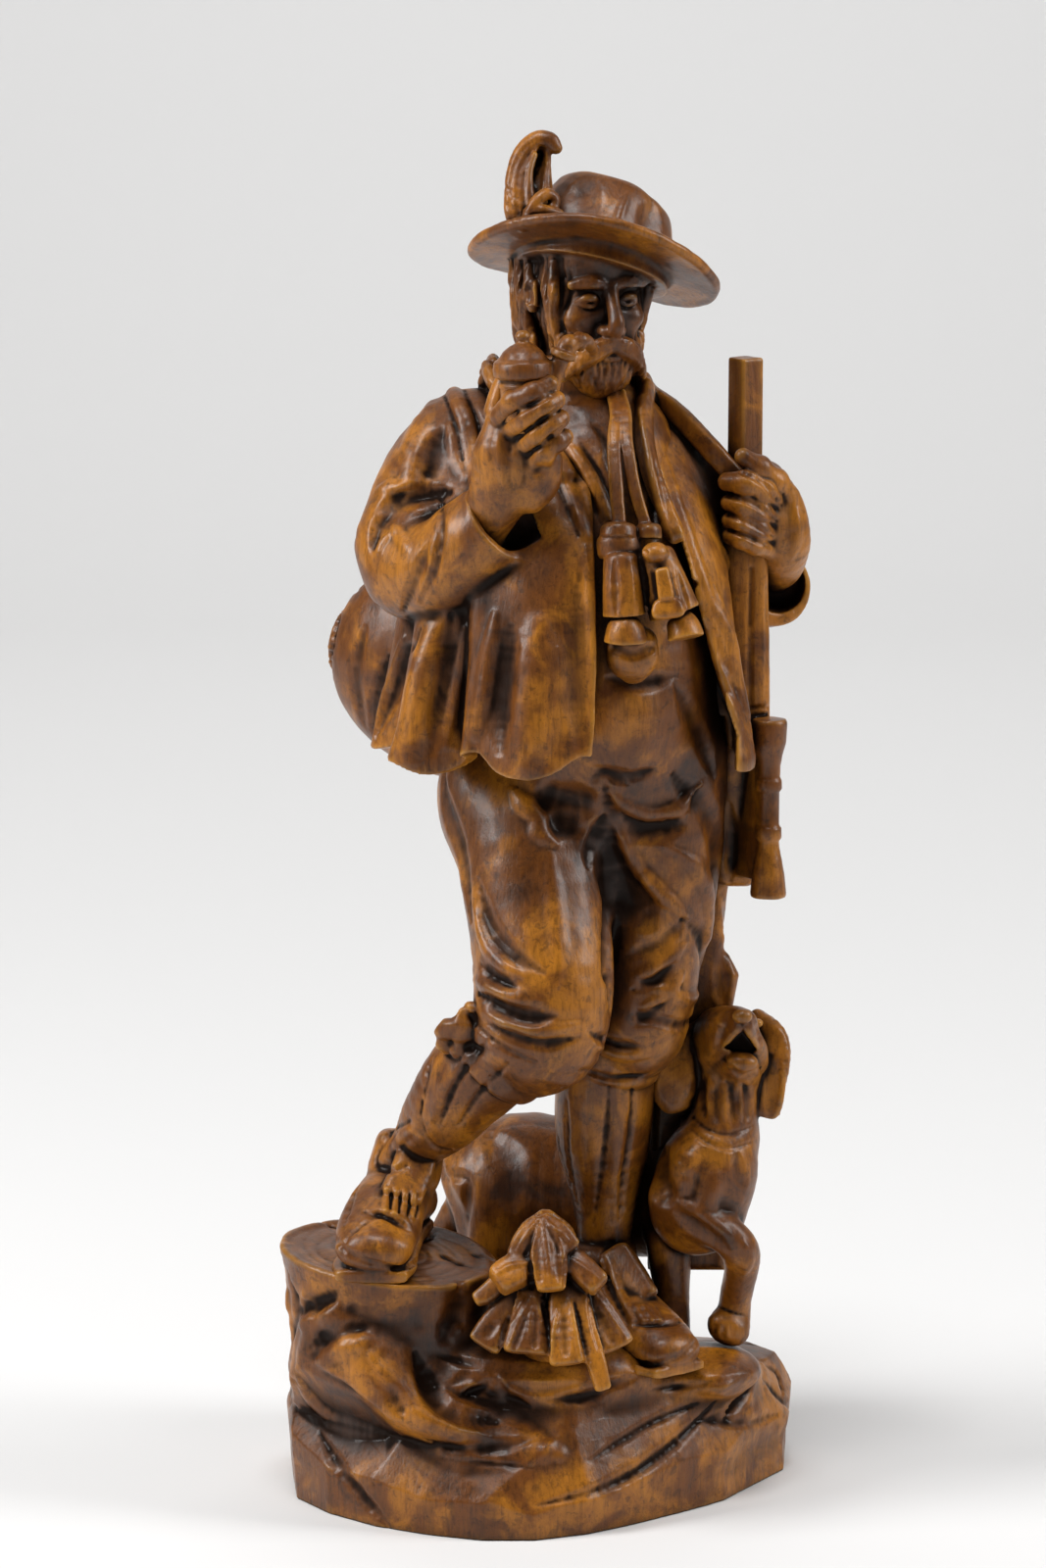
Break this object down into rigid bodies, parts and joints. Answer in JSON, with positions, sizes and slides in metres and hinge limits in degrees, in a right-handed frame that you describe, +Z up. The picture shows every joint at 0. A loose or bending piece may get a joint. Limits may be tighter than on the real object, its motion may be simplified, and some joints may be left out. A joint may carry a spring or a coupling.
{
  "type": "carved wooden figure group",
  "caption": "Bearded huntsman with pipe, binoculars, rucksack and rifle, one boot on a stump, with hound and young fir on a rock foot, carved from one block of wood.",
  "frame": {"origin": "middle of the flat underside of the rock foot, on the surface that the carving stands on", "axes": "+Z up along the figure, -Y to the front that the huntsman faces, +X to the side of his rifle"},
  "size_m": [0.1316, 0.1076, 0.3384],
  "materials": {
    "stained_wood": "satin, dark stain in the hollows"
  },
  "bodies": {
    "root": {"huntsman_group": "stained_wood"}
  },
  "joints": []
}
